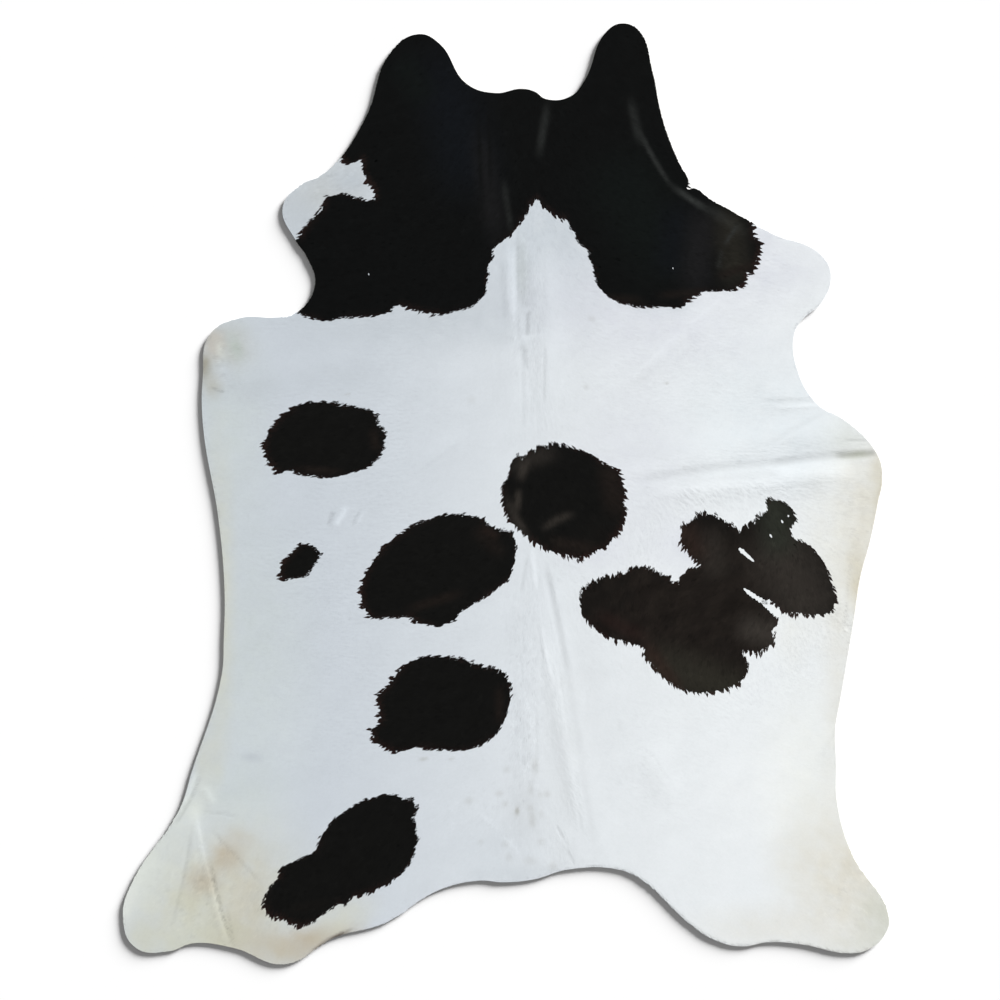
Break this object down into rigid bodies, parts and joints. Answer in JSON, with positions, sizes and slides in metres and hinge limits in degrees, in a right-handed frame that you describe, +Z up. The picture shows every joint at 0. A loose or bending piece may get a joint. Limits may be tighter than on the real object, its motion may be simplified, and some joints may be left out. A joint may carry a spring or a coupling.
{
  "type": "cowhide rug",
  "caption": "Whole hair-on cowhide laid flat as a rug, with the hide's natural outline, a light coat with dark patches, and low packing folds.",
  "frame": {"origin": "on the floor under the middle of the hide's bounding box", "axes": "+Z up out of the hair side, +Y from the rump towards the neck, +X towards the right side as seen from above"},
  "size_m": [1.7926, 2.201, 0.0068],
  "materials": {
    "hair_on_hide": "short lying hair, pale grey-white with near-black patches"
  },
  "bodies": {
    "root": {"hide": "hair_on_hide"}
  },
  "joints": []
}
